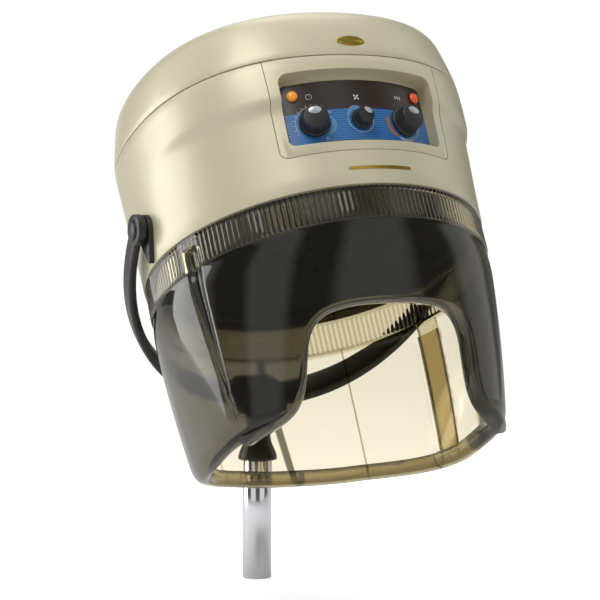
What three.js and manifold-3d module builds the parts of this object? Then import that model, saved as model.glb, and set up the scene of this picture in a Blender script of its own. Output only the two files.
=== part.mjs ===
// Salon hood dryer head: a round casing with its fan and heater, a smoked visor open at the face, and the
// forked bail that carries the hood on the top of a chrome column.
// Millimetres, +Z up, front towards -Y. The origin is the centre of the column's lower end face.

import * as THREE from "three";
import { mergeVertices } from "three/addons/utils/BufferGeometryUtils.js";
import Module from "manifold-3d";

const wasm = await Module();
wasm.setup();

// ---------------------------------------------------------------- driving dimensions

const GAP = 0.4; // running and assembly clearance between separate pieces
const WALL = 3; // moulded shell thickness

// Stand and fork, in the part's frame.
const COLUMN_R = 16.4;
const COLUMN_WALL = 2;
const COLUMN_TOP = 134;
const PIVOT_Y = -130; // the hood hangs in front of the column
const PIVOT_Z = 400;
const HUB_DROP = 192; // hub centre below the pivot axis
const BAIL_HALF = 199; // half the fork's span, at the middle of the arm
const HOOD_TILT = THREE.MathUtils.degToRad(27.4); // rest angle, front raised

// Hood, in its own frame: origin on the pivot axis, z along the hood's axis.
const SEAM_Z = 110; // joint of top cover and main casing
const LIP_Z = -40; // lower edge of the main casing
const SEAM_R = 192.4;
const LIP_R = 187;
const SQUARENESS = 0.025; // how far the plan departs from a circle at the seam
const BROW_Z = 63; // lower edge of the raised brow over the controls
const BROW_STEP = 4.6;
const BROW_HALF_ANGLE = THREE.MathUtils.degToRad(70);
const COVER_SIDE = 48; // height of the top cover's side wall
const COVER_TOP = 196;

// Control panel, set into the fascia on a cylinder about the hood's axis.
const PANEL_R = 176;
const PANEL_T = 1.6;
const PANEL_LOW = 12;
const PANEL_HIGH = 86;
const PANEL_HALF_ANGLE = THREE.MathUtils.degToRad(27.6);
const FASCIA_LOW = -1;
const FASCIA_HALF_ANGLE = THREE.MathUtils.degToRad(32);
const KNOB_Z = 38;
const LAMP_Z = 72;
// Each control: its angle round the panel, knob radius and height, unit behind, and where it points at rest.
const KNOBS = [
  { name: "timer", angle: -18, r: 16.5, h: 17, body: [30, 34, 26], turn: 0 },
  { name: "speed", angle: -1.5, r: 11.5, h: 14, body: [22, 26, 20], turn: 38 },
  { name: "temp", angle: 15.5, r: 16.5, h: 17, body: [26, 28, 22], turn: 8 },
];

// Visor.
const BAND_LOW = -76; // lower end of the ribbed band
const VISOR_LOW = -262; // rim at the sides
const REAR_RISE = 18; // the rim is higher at the nape
const RISE_FROM = THREE.MathUtils.degToRad(100);
const RISE_TO = THREE.MathUtils.degToRad(155);
const VISOR_WALL = 3;
const RIM_CURL = 12;
const JOINT_FROM = THREE.MathUtils.degToRad(110); // lap of the rear shell inside the front shell
const JOINT_TO = THREE.MathUtils.degToRad(119);

// ---------------------------------------------------------------- materials

const finish = (color, roughness, metalness = 0, opacity = 1) =>
  new THREE.MeshStandardMaterial({ color, roughness, metalness, opacity, transparent: opacity < 1 });

const pearl = finish(0xc9c5ab, 0.35, 0.2);
const smoked = finish(0x4a4636, 0.1, 0, 0.55);
const blackPlastic = finish(0x141416, 0.4);
const chrome = finish(0xd8d8dc, 0.08, 1);
const steel = finish(0x9a9a9c, 0.35, 1);
const print = finish(0x1b4f86, 0.4);
const silverPrint = finish(0xb8c0c4, 0.3, 0.6);
const amber = finish(0xe08a20, 0.15, 0, 0.8);
const red = finish(0xc03818, 0.15, 0, 0.8);
const mica = finish(0xb9a77c, 0.7);
const grey = finish(0x6e7072, 0.6);
const gold = finish(0xb08a2c, 0.3, 0.9);
const white = finish(0xd8d6cc, 0.6);
const copper = finish(0x9c5a34, 0.4, 0.9);

// ---------------------------------------------------------------- solids

// A closed geometry as a manifold solid, turned right side out.
function solid(geometry) {
  let g = geometry.clone();
  g.deleteAttribute("normal");
  g.deleteAttribute("uv");
  g = mergeVertices(g, 1e-4);
  const vertProperties = new Float32Array(g.attributes.position.array);
  const triVerts = new Uint32Array(g.index.array);
  const made = new wasm.Manifold(new wasm.Mesh({ numProp: 3, vertProperties, triVerts }));
  if (made.volume() > 0) return made;
  for (let i = 0; i < triVerts.length; i += 3)
    [triVerts[i + 1], triVerts[i + 2]] = [triVerts[i + 2], triVerts[i + 1]];
  return new wasm.Manifold(new wasm.Mesh({ numProp: 3, vertProperties, triVerts }));
}

function geometryOf(manifold) {
  const { vertProperties, triVerts } = manifold.getMesh();
  return new THREE.BufferGeometry()
    .setAttribute("position", new THREE.BufferAttribute(new Float32Array(vertProperties), 3))
    .setIndex(new THREE.BufferAttribute(new Uint32Array(triVerts), 1));
}

const cut = (body, ...tools) => tools.reduce((b, t) => b.subtract(solid(t)), solid(body));
const join = (...parts) => parts.slice(1).reduce((b, p) => b.add(solid(p)), solid(parts[0]));

// A turned body about Z from [radius, z] points; the profile closes on itself or on the axis.
function turned(points, segments = 32) {
  const g = new THREE.LatheGeometry(
    points.map(([r, z]) => new THREE.Vector2(r, z)),
    segments,
  );
  return g.rotateX(Math.PI / 2);
}

const ring = (outer, inner, low, high, segments = 32) =>
  turned([[inner, low], [outer, low], [outer, high], [inner, high], [inner, low]], segments);

function rod(r, low, high, segments = 16) {
  return turned([[0, low], [r, low], [r, high], [0, high]], segments);
}

const block = (x, y, z) => new THREE.BoxGeometry(x, y, z);

// An outline in X and Z, pushed through from y = near to y = far.
function through(shape, near, far, curveSegments = 8) {
  const g = new THREE.ExtrudeGeometry(shape, { depth: far - near, bevelEnabled: false, curveSegments });
  return g.rotateX(Math.PI / 2).translate(0, far, 0);
}

const azimuth = (x, y) => Math.atan2(x, -y); // 0 at the front, positive to the right

// Moves each vertex of a turned body along its radius, and along Z.
function reshape(geometry, radiusAt, heightAt = (angle, z) => z) {
  const p = geometry.attributes.position;
  for (let i = 0; i < p.count; i++) {
    const [x, y, z] = [p.getX(i), p.getY(i), p.getZ(i)];
    const r = Math.hypot(x, y);
    if (r < 1e-6) continue;
    const angle = azimuth(x, y);
    const k = radiusAt(angle, z, r) / r;
    p.setXYZ(i, x * k, y * k, heightAt(angle, z));
  }
  return geometry;
}

const smooth = (t) => THREE.MathUtils.smoothstep(t, 0, 1);

// ---------------------------------------------------------------- scene graph

const dryer = new THREE.Group();
const fork = new THREE.Group(); // axes of the part, origin on the pivot axis
fork.position.set(0, PIVOT_Y, PIVOT_Z);
const hood = new THREE.Group();
hood.rotation.x = -HOOD_TILT;
fork.add(hood);
dryer.add(fork);

function place(parent, name, body, material) {
  const mesh = new THREE.Mesh(body.isBufferGeometry ? body : geometryOf(body), material);
  mesh.name = name;
  parent.add(mesh);
  return mesh;
}

// ---------------------------------------------------------------- column

const SPIGOT_R = 8;
const SPIGOT_TOP = COLUMN_TOP + 58;

place(
  dryer,
  "column_tube",
  ring(COLUMN_R, COLUMN_R - COLUMN_WALL, 0, COLUMN_TOP, 32),
  chrome,
);
place(
  dryer,
  "column_end_plug",
  turned([[0, 0], [COLUMN_R - COLUMN_WALL - GAP, 0], [COLUMN_R - COLUMN_WALL - GAP, 24], [0, 24]]),
  blackPlastic,
);
place(
  dryer,
  "column_spigot",
  turned([
    [0, COLUMN_TOP - 26],
    [COLUMN_R - COLUMN_WALL - GAP, COLUMN_TOP - 26],
    [COLUMN_R - COLUMN_WALL - GAP, COLUMN_TOP + GAP],
    [COLUMN_R, COLUMN_TOP + GAP],
    [COLUMN_R, COLUMN_TOP + 4],
    [SPIGOT_R, COLUMN_TOP + 6],
    [SPIGOT_R, SPIGOT_TOP],
    [0, SPIGOT_TOP],
  ]),
  steel,
);

// ---------------------------------------------------------------- fork: hub, bush and bail

const HUB_Z = PIVOT_Z - HUB_DROP;
const SKIRT_LOW = COLUMN_TOP + 0.5; // the skirt covers the top of the column
const BUSH_R = SPIGOT_R + 3;

// Moulded hub: a rounded block with a flared skirt below it, turned about the column. Its front is hollowed
// about the pivot axis, so that the visor swings past it.
const HUB_WIDE = 57;
const HUB_TALL = 43;
const HUB_FRONT = -19;
const HUB_BACK = 21;
const SWING_R = 222;
const skirt = turned(
  [
    [BUSH_R + GAP, SKIRT_LOW + 12],
    [COLUMN_R + 1.2, SKIRT_LOW + 12],
    [COLUMN_R + 1.2, SKIRT_LOW],
    [22.5, SKIRT_LOW],
    [22, SKIRT_LOW + 4],
    [17.5, SKIRT_LOW + 16],
    [15, SKIRT_LOW + 26],
    [16.5, HUB_Z - 16],
    [BUSH_R + GAP, HUB_Z - 16],
    [BUSH_R + GAP, SKIRT_LOW + 12],
  ],
  32,
);
const hubBlock = (() => {
  const [x, z, c] = [HUB_WIDE / 2, HUB_TALL / 2, 9];
  const s = new THREE.Shape();
  s.moveTo(-x + c, -z);
  s.lineTo(x - c, -z);
  s.quadraticCurveTo(x, -z, x, -z + c);
  s.lineTo(x, z - c);
  s.quadraticCurveTo(x, z, x - c, z);
  s.lineTo(-x + c, z);
  s.quadraticCurveTo(-x, z, -x, z - c);
  s.lineTo(-x, -z + c);
  s.quadraticCurveTo(-x, -z, -x + c, -z);
  return through(s, HUB_FRONT, HUB_BACK, 3).translate(0, 0, HUB_Z);
})();
const hubBody = solid(skirt).add(solid(hubBlock)).translate(0, -PIVOT_Y, -PIVOT_Z);
const swing = rod(SWING_R, -60, 60, 72).rotateY(Math.PI / 2);
place(
  fork,
  "swivel_bush",
  ring(BUSH_R, SPIGOT_R + 0.3, SKIRT_LOW + 12.4, SPIGOT_TOP - 1, 20).translate(0, -PIVOT_Y, -PIVOT_Z),
  white,
);

// The bail is one strap in the plane through the pivot axis and the hub: half a rounded oval, whose
// section is a rounded bar that widens from the arms' ends to the middle.
const BAIL_DROP = Math.hypot(PIVOT_Y, HUB_DROP);
const BAIL_SQUARENESS = 2.15;
const bailDown = new THREE.Vector3(0, -PIVOT_Y, -HUB_DROP).normalize();
const bailNormal = new THREE.Vector3(0, HUB_DROP, -PIVOT_Y).normalize();

function bailPoint(t) {
  const c = Math.cos(t);
  const s = Math.sin(t);
  const x = -Math.sign(c) * BAIL_HALF * Math.abs(c) ** (2 / BAIL_SQUARENESS);
  const d = BAIL_DROP * Math.abs(s) ** (2 / BAIL_SQUARENESS);
  return new THREE.Vector3(x, 0, 0).addScaledVector(bailDown, d);
}

function strap(steps, corner = 2) {
  const positions = [];
  const index = [];
  const rim = 4 * corner;
  for (let i = 0; i <= steps; i++) {
    const t = (Math.PI * i) / steps;
    const here = bailPoint(t);
    const ahead = bailPoint(Math.min(t + 0.01, Math.PI));
    const behind = bailPoint(Math.max(t - 0.01, 0));
    const along = ahead.sub(behind).normalize();
    const outward = along.clone().cross(bailNormal);
    const middle = Math.max(0, Math.sin(t)) ** 1.5;
    const halfWide = 11 + 5.5 * middle;
    const halfThick = 4.4 + 2.6 * middle;
    for (let k = 0; k < rim; k++) {
      const a = (2 * Math.PI * (k + 0.5)) / rim;
      const w = Math.sign(Math.cos(a)) * Math.abs(Math.cos(a)) ** 0.55 * halfWide;
      const h = Math.sign(Math.sin(a)) * Math.abs(Math.sin(a)) ** 0.55 * halfThick;
      const p = here.clone().addScaledVector(bailNormal, w).addScaledVector(outward, h);
      positions.push(p.x, p.y, p.z);
    }
  }
  for (let i = 0; i < steps; i++)
    for (let k = 0; k < rim; k++) {
      const a = i * rim + k;
      const b = i * rim + ((k + 1) % rim);
      index.push(a, b, a + rim, b, b + rim, a + rim);
    }
  for (let k = 1; k < rim - 1; k++) {
    index.push(0, k + 1, k);
    const last = steps * rim;
    index.push(last, last + k, last + k + 1);
  }
  const g = new THREE.BufferGeometry();
  g.setAttribute("position", new THREE.Float32BufferAttribute(positions, 3));
  g.setIndex(index);
  return g;
}

// Each arm ends in a round eye about the pivot axis, bored for the pivot bolt.
const EYE_R = 17;
const EYE_HALF = 5;
const BOLT_R = 5;
const eye = (side, r = EYE_R, half = EYE_HALF, at = BAIL_HALF) =>
  rod(r, -half, half, 22).rotateY(Math.PI / 2).translate(side * at, 0, 0);
const boltHole = (side) => rod(BOLT_R + 0.3, -40, 40, 20).rotateY(Math.PI / 2).translate(side * BAIL_HALF, 0, 0);
const capSeat = (side) => eye(side, 11, 4, BAIL_HALF + EYE_HALF - 0.5);
const hubHole = rod(BUSH_R + GAP, -80, SPIGOT_TOP + 1 - HUB_Z, 32).translate(0, -PIVOT_Y, -HUB_DROP);
const bail = join(strap(26), eye(-1), eye(1))
  .add(hubBody.subtract(solid(swing)))
  .subtract(solid(boltHole(-1)))
  .subtract(solid(boltHole(1)))
  .subtract(solid(capSeat(-1)))
  .subtract(solid(capSeat(1)))
  .subtract(solid(hubHole));
place(fork, "fork_bail", bail, blackPlastic);

for (const [side, word] of [[-1, "left"], [1, "right"]]) {
  const outer = side * (BAIL_HALF + EYE_HALF);
  place(
    fork,
    `pivot_cap_${word}`,
    turned([[0, -2], [10.4, -2], [10.4, 1.2], [8.6, 2.6], [4, 3.2], [0, 3.2]], 20)
      .rotateY((side * Math.PI) / 2)
      .translate(outer, 0, 0),
    blackPlastic,
  );
}

// ---------------------------------------------------------------- casing shells

// Plan radius of the main casing and top cover. The profile is drawn as it is at the brow; away from the
// brow the wall is straight from seam to lip.
const squareness = (z) => SQUARENESS * smooth((z - LIP_Z) / (SEAM_Z - LIP_Z));
const straightR = (z) => LIP_R + ((SEAM_R - LIP_R) * (z - LIP_Z)) / (SEAM_Z - LIP_Z);
const browProfile = [
  [SEAM_R, SEAM_Z],
  [193.4, BROW_Z + 4],
  [192.2, BROW_Z],
  [192.2 - BROW_STEP + 1.2, BROW_Z - 14],
  [LIP_R, LIP_Z],
];
const browWindow = (angle) => 1 - smooth((Math.abs(angle) - BROW_HALF_ANGLE + 0.12) / 0.3);

function casingRadius(angle, z, r) {
  const brow = browWindow(angle);
  const zClamped = Math.min(Math.max(z, LIP_Z), SEAM_Z);
  const browR = radiusOn(browProfile, zClamped);
  const straight = straightR(zClamped);
  const shift = z > SEAM_Z ? 0 : (1 - brow) * (straight - browR);
  return (r + shift) * (1 - squareness(z) * Math.cos(4 * angle));
}

function radiusOn(profile, z) {
  for (let i = 1; i < profile.length; i++) {
    const [r0, z0] = profile[i - 1];
    const [r1, z1] = profile[i];
    if (z <= z0 && z >= z1) return r0 + ((r1 - r0) * (z0 - z)) / (z0 - z1);
  }
  return profile.at(-1)[0];
}

const SHELL_SEGMENTS = 44;
const casingShell = (out, inward, low, high) => {
  const rows = browProfile.filter(([, z]) => z > low && z < high).map(([r, z]) => [r, z]);
  const outer = [[radiusOn(browProfile, high), high], ...rows, [radiusOn(browProfile, low), low]];
  const inner = outer.map(([r, z]) => [r - inward, z]).reverse();
  const closed = [...outer.map(([r, z]) => [r + out, z]), ...inner];
  closed.push(closed[0]);
  return reshape(turned(closed, SHELL_SEGMENTS), casingRadius);
};

// Fascia opening in the casing: it runs up to the seam, so the fascia drops in from above.
function frontOutline(halfAngle, low, high, corner, r) {
  const half = r * Math.sin(halfAngle);
  const s = new THREE.Shape();
  s.moveTo(-half, high);
  s.lineTo(-half + 3, low + corner);
  s.quadraticCurveTo(-half + 3.5, low, -half + 3 + corner, low);
  s.lineTo(half - 3 - corner, low);
  s.quadraticCurveTo(half - 3.5, low, half - 3, low + corner);
  s.lineTo(half, high);
  s.closePath();
  return s;
}

const fasciaOutline = (grow, high) => {
  const s = frontOutline(FASCIA_HALF_ANGLE, FASCIA_LOW, high, 9, 191);
  const points = s.getPoints(4).map((p) => {
    const k = (Math.abs(p.x) + grow) / Math.max(Math.abs(p.x), 1e-6);
    return new THREE.Vector2(p.x * k, p.y <= FASCIA_LOW + 9 ? p.y - grow : p.y);
  });
  return new THREE.Shape(points);
};

const casingHole = through(fasciaOutline(GAP, SEAM_Z + 20), -260, -120, 4);
const pivotHole = (side) => rod(BOLT_R + 0.3, -20, 20, 16).rotateY(Math.PI / 2).translate(side * 187, 0, 0);
const glandHole = rod(6.4, -20, 20, 16).rotateX(Math.PI / 2).translate(0, 187, 8);
const casing = solid(casingShell(0, WALL, LIP_Z, SEAM_Z))
  .subtract(solid(casingHole))
  .subtract(solid(pivotHole(-1)))
  .subtract(solid(pivotHole(1)))
  .subtract(solid(glandHole));
place(hood, "main_casing", casing, pearl);

// Top cover: side wall, rounded shoulder and a low dome with a ring of intake slots round a grille.
const INTAKE_R = 62;
const coverOuter = [
  [SEAM_R, SEAM_Z + GAP],
  [SEAM_R - 8.8, SEAM_Z + COVER_SIDE],
  [180, SEAM_Z + COVER_SIDE + 9],
  [169, SEAM_Z + COVER_SIDE + 16],
  [150, SEAM_Z + COVER_SIDE + 23],
  [110, COVER_TOP - 5],
  [INTAKE_R, COVER_TOP],
];
const coverInner = coverOuter
  .map(([r, z]) => [r - (z > SEAM_Z + COVER_SIDE + 20 ? 0 : WALL), z > SEAM_Z + COVER_SIDE ? z - WALL : z])
  .reverse();
const coverClosed = [...coverOuter, ...coverInner];
coverClosed.push(coverClosed[0]);
const coverRadius = (angle, z, r) =>
  r * (1 - SQUARENESS * smooth((r - 90) / 90) * Math.cos(4 * angle));
place(hood, "top_cover", reshape(turned(coverClosed, SHELL_SEGMENTS), coverRadius), pearl);

// Intake grille: rings joined by spokes, dropped into the cover's central hole.
function grille() {
  const top = COVER_TOP + 0.5;
  let body = solid(ring(INTAKE_R - GAP, INTAKE_R - 5, top - 8, top, 24)).add(
    solid(rod(16, top - 3, top, 16)),
  );
  for (const r of [38]) body = body.add(solid(ring(r, r - 5, top - 3, top, 16)));
  for (let i = 0; i < 6; i++) {
    const spoke = block(4, INTAKE_R - 12, 2.6).translate(0, 34, top - 1.5);
    body = body.add(solid(spoke.rotateZ((i * Math.PI) / 3)));
  }
  return body;
}
place(hood, "intake_grille", grille(), blackPlastic);

// ---------------------------------------------------------------- fascia, panel, lamps

// The fascia follows the casing and is scooped to a seat for the printed panel.
const fasciaBlank = solid(casingShell(0, 22, FASCIA_LOW, SEAM_Z)).intersect(
  solid(through(fasciaOutline(0, SEAM_Z + 20), -260, -120, 4)),
);
const scoop = (() => {
  const half = PANEL_HALF_ANGLE;
  const s = frontOutline(half, PANEL_LOW + 2, PANEL_HIGH + 4, 6, PANEL_R + 12);
  return through(s, -260, -100, 4);
})();
const scoopDepth = solid(ring(260, PANEL_R, -60, 160, SHELL_SEGMENTS));
const panelWindow = through(
  frontOutline(PANEL_HALF_ANGLE * 0.93, PANEL_LOW + 6, PANEL_HIGH - 4, 4, PANEL_R),
  -260,
  -100,
  4,
);
const fasciaBody = fasciaBlank
  .subtract(solid(scoop).intersect(scoopDepth))
  .subtract(solid(panelWindow));
place(hood, "control_fascia", fasciaBody, pearl);

// A tool or fitting at an angle round the panel, standing on its surface and pointing outwards.
function onPanel(geometry, degrees, z, r) {
  const a = THREE.MathUtils.degToRad(degrees);
  return geometry
    .rotateX(Math.PI / 2) // +Z becomes -Y, outwards at the front
    .rotateZ(a)
    .translate(r * Math.sin(a), -r * Math.cos(a), z);
}

const SHAFT_R = 3;
const LAMP_ANGLE = 23.5;
const panelPlate = (() => {
  const s = frontOutline(PANEL_HALF_ANGLE, PANEL_LOW + 3.5, PANEL_HIGH + 1.5, 5, PANEL_R + 9);
  let body = solid(ring(PANEL_R + PANEL_T + GAP, PANEL_R + GAP, -60, 160, SHELL_SEGMENTS)).intersect(
    solid(through(s, -260, -100, 4)),
  );
  for (const k of KNOBS)
    body = body.subtract(solid(onPanel(rod(SHAFT_R + 0.7, -20, 20, 14), k.angle, KNOB_Z, PANEL_R)));
  for (const side of [-1, 1])
    body = body.subtract(solid(onPanel(rod(3.6, -20, 20, 14), side * LAMP_ANGLE, LAMP_Z, PANEL_R)));
  return body;
})();
place(hood, "panel_plate", panelPlate, print);

for (const [side, name, material] of [[-1, "amber_lamp", amber], [1, "red_lamp", red]]) {
  const face = PANEL_T + GAP + 0.4;
  const lens = turned(
    [[0, -8], [3.2, -8], [3.2, face], [6, face], [6, face + 1], [4.6, face + 3.4], [2.4, face + 4.6], [0, face + 4.9]],
    20,
  );
  place(hood, name, onPanel(lens, side * LAMP_ANGLE, LAMP_Z, PANEL_R), material);
}

// Knobs with their pointer inlays and shafts, and the control units behind the panel.
for (const { name, angle, r, h, turn, body: [bx, by, bz] } of KNOBS) {
  const base = PANEL_T + GAP + 1;
  const knob = turned(
    [
      [0, base + 3],
      [SHAFT_R + 0.3, base + 3],
      [SHAFT_R + 0.3, base],
      [r, base],
      [r, base + 3],
      [r * 0.82, base + h - 1.5],
      [r * 0.76, base + h],
      [0, base + h],
    ],
    24,
  );
  place(hood, `${name}_knob`, onPanel(knob, angle, KNOB_Z, PANEL_R), blackPlastic);
  const petal = new THREE.CylinderGeometry(r * 0.4, r * 0.4, 1, 18)
    .scale(1.2, 1, 0.62)
    .rotateX(Math.PI / 2)
    .translate(0, r * 0.42, base + h + 0.9)
    .rotateZ(THREE.MathUtils.degToRad(-turn));
  place(hood, `${name}_pointer`, onPanel(petal, angle, KNOB_Z, PANEL_R), silverPrint);
  place(hood, `${name}_shaft`, onPanel(rod(SHAFT_R, -6, base + 2.6, 14), angle, KNOB_Z, PANEL_R), steel);
  const unit = block(bx, bz, by).translate(0, 0, -by / 2 - 8);
  place(hood, `${name}_unit`, onPanel(unit, angle, KNOB_Z, PANEL_R), white);
}

// Small plain oval badge on the top cover, over the controls.
const coverCore = reshape(
  turned([[0, SEAM_Z], ...coverOuter.map(([r, z]) => [r + 0.35, z]), [0, COVER_TOP]], SHELL_SEGMENTS),
  coverRadius,
);
const badgeBlank = new THREE.CylinderGeometry(9, 9, 8, 28).scale(1.9, 1, 1).rotateX(Math.PI / 2)
  .scale(1, 1, 0.72)
  .translate(0, -SEAM_R * 0.958 + 2.2, SEAM_Z + 18);
const badgeBody = cut(badgeBlank, coverCore);
place(hood, "cover_badge", badgeBody, gold);

// ---------------------------------------------------------------- pivot hardware on the hood

for (const [side, word] of [[-1, "left"], [1, "right"]]) {
  // Teardrop boss between casing and arm, tapering down the casing's side.
  const s = new THREE.Shape();
  s.absarc(0, 0, 16.5, THREE.MathUtils.degToRad(-20), THREE.MathUtils.degToRad(200), false);
  s.lineTo(-2.5, -38);
  s.quadraticCurveTo(0, -40, 2.5, -38);
  s.closePath();
  const inner = LIP_R - 6;
  const outer = BAIL_HALF - EYE_HALF - 1.2;
  const prism = new THREE.ExtrudeGeometry(s, { depth: outer - inner, bevelEnabled: false, curveSegments: 16 })
    .rotateX(Math.PI / 2)
    .rotateZ(Math.PI / 2)
    .translate(inner, 0, 0);
  if (side < 0) prism.rotateZ(Math.PI);
  const rows = [...browProfile].reverse().map(([r, z]) => [r + 0.35, z]);
  const casingSolid = solid(
    reshape(turned([[0, LIP_Z - 10], [LIP_R + 0.35, LIP_Z - 10], ...rows, [0, SEAM_Z]], SHELL_SEGMENTS), casingRadius),
  );
  const boss = solid(prism).subtract(casingSolid).subtract(solid(pivotHole(side)));
  place(hood, `pivot_boss_${word}`, boss, blackPlastic);
  place(
    hood,
    `friction_washer_${word}`,
    ring(13, BOLT_R + 0.3, 0, 0.6, 18)
      .rotateY((side * Math.PI) / 2)
      .translate(side * (outer + 0.3), 0, 0),
    steel,
  );
  // Shouldered bolt: head under the cap, shank through arm, washer, boss and casing wall.
  const bolt = turned(
    [[0, -30], [BOLT_R, -30], [BOLT_R, 0], [8, 0], [8, 1.5], [0, 1.5]],
    16,
  )
    .rotateY((side * Math.PI) / 2)
    .translate(side * (BAIL_HALF + EYE_HALF - 4.1), 0, 0);
  place(hood, `pivot_bolt_${word}`, bolt, steel);
  const nut = new THREE.CylinderGeometry(9, 9, 6, 6).rotateZ(Math.PI / 2).translate(side * 179, 0, 0);
  const nutHole = rod(BOLT_R + 0.3, -20, 20, 20).rotateY(Math.PI / 2).translate(side * 179, 0, 0);
  place(hood, `pivot_nut_${word}`, cut(nut, nutHole), steel);
}

// ---------------------------------------------------------------- visor

const visorT = (z) => Math.max(0, (BAND_LOW - z) / (BAND_LOW - VISOR_LOW));
const bandR = 186.4;

// Plan radius of the visor's outer face: round at the band, a rounded square below, drawn in at the front.
function visorPlan(angle, z) {
  const t = visorT(z);
  const side = bandR - 13 * t - 9 * t * t;
  const depth = Math.cos(angle) > 0 ? bandR - 76 * t : bandR - 30 * t;
  const n = 2 + 0.65 * t;
  const s = Math.abs(Math.sin(angle) / side) ** n + Math.abs(Math.cos(angle) / depth) ** n;
  return s ** (-1 / n);
}

const rimLift = (angle, z) =>
  REAR_RISE * smooth((Math.abs(angle) - RISE_FROM) / (RISE_TO - RISE_FROM)) * Math.min(1, visorT(z));

// Profile rows as [inset from the plan, z]: neck inside the casing, ribbed band, wall and curled rim.
const visorRows = [
  [4, -22],
  [4, LIP_Z - GAP],
  [0.6, LIP_Z - GAP],
  [0.6, BAND_LOW + 2],
  [2.4, BAND_LOW],
  [0, BAND_LOW - 24],
  [0, -160],
  [0, -210],
  [0.6, VISOR_LOW + RIM_CURL],
  [4, VISOR_LOW + 3.5],
  [RIM_CURL, VISOR_LOW],
  [RIM_CURL + 10, VISOR_LOW + 2],
];
const visorInner = [
  [RIM_CURL + 10, VISOR_LOW + 2 + VISOR_WALL],
  [RIM_CURL, VISOR_LOW + VISOR_WALL],
  [6.3, VISOR_LOW + 5.8],
  [3.6, VISOR_LOW + RIM_CURL + 1],
  [3, -210],
  [3, -160],
  [3, BAND_LOW - 24],
  [5.4, BAND_LOW],
  [5.4, LIP_Z - 4],
  [7, LIP_Z - 2],
  [7, -22],
];

function visorShell(rows, offset = 0, segments = 50) {
  const closed = rows.map(([inset, z]) => [bandR - inset - offset, z]);
  closed.push(closed[0]);
  return reshape(
    turned(closed, segments),
    (angle, z, r) => visorPlan(angle, z) - (bandR - r),
    (angle, z) => z + rimLift(angle, z),
  );
}

// A wedge about Z that takes in the angles from -half to +half about the front.
function wedge(half, steps = 12) {
  const s = new THREE.Shape();
  s.moveTo(0, 0);
  for (let i = 0; i <= steps; i++) {
    const a = -half + (2 * half * i) / steps;
    s.lineTo(320 * Math.sin(a), -320 * Math.cos(a));
  }
  s.closePath();
  return new THREE.ExtrudeGeometry(s, { depth: 400, bevelEnabled: false }).translate(0, 0, -330);
}

// Face opening: an arch that flares to the front corners of the rim.
const faceOpening = (() => {
  const s = new THREE.Shape();
  const half = [[150, -258], [128, -253], [108, -244], [100, -232], [97, -212], [94, -189], [87, -174]];
  half.push([71, -163], [45, -159], [20, -158]);
  s.moveTo(-150, -330);
  for (const [x, z] of half) s.lineTo(-x, z);
  for (const [x, z] of half.reverse()) s.lineTo(x, z);
  s.lineTo(150, -330);
  s.closePath();
  return through(s, -300, -20, 8);
})();

const visorBody = solid(visorShell([...visorRows, ...visorInner]));
const frontWedge = solid(wedge(JOINT_TO));
const rearCut = solid(wedge(JOINT_TO + 0.0025));
place(hood, "visor_front", visorBody.intersect(frontWedge).subtract(solid(faceOpening)), smoked);

// The rear shell carries a tab that laps inside the front shell.
const tabRows = [
  [4, BAND_LOW - 24],
  [4, -160],
  [4, -210],
];
const tabInner = [
  [6.4, -210],
  [6.4, -160],
  [6.4, BAND_LOW - 24],
];
const tabs = solid(visorShell([...tabRows, ...tabInner])).subtract(solid(wedge(JOINT_FROM)));
const tabZone = tabs.intersect(solid(wedge(JOINT_TO + 0.03)));
const bridgeRows = [[1.5, BAND_LOW - 24], [1.5, -160], [1.5, -210], ...tabInner];
const bridge = solid(visorShell(bridgeRows))
  .intersect(solid(wedge(JOINT_TO + 0.03)))
  .subtract(rearCut);
const rearShell = visorBody.subtract(rearCut).add(tabZone).add(bridge);
place(hood, "visor_rear", rearShell, smoked);

// ---------------------------------------------------------------- air system inside the casing

// Perforated diffuser dome under the fan.
const DOME_R = 164;
const DOME_RIM = -34;
const DOME_TOP = 20;
const domeZ = (r) => DOME_RIM + (DOME_TOP - DOME_RIM) * Math.sqrt(Math.max(0, 1 - (r / DOME_R) ** 2));
const innerDome = (() => {
  const radii = [0, 70, 115, 145, DOME_R];
  const outer = radii.map((r) => [r, domeZ(r) + 2]);
  const inner = [...radii].reverse().map((r) => [r === DOME_R ? r - 2 : Math.max(0, r - 1), domeZ(r)]);
  const flange = [[DOME_R, DOME_RIM + 2], [176, DOME_RIM + 2], [176, DOME_RIM], [DOME_R - 2, DOME_RIM]];
  let body = solid(turned([...outer.slice(0, -1), ...flange, ...inner.slice(1)], 30));
  for (const [r, count] of [[60, 5], [100, 10]])
    for (let i = 0; i < count; i++) {
      const a = (2 * Math.PI * i) / count;
      body = body.subtract(solid(rod(6, -60, 60, 6).translate(r * Math.cos(a), r * Math.sin(a), 0)));
    }
  return body;
})();
place(hood, "inner_dome", innerDome, blackPlastic);

// Fan deck with the impeller's eye in the middle.
const DECK_Z = 64;
const EYE_HOLE_R = 46;
place(hood, "fan_deck", ring(150, EYE_HOLE_R, DECK_Z, DECK_Z + 3, 36), grey);

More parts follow.
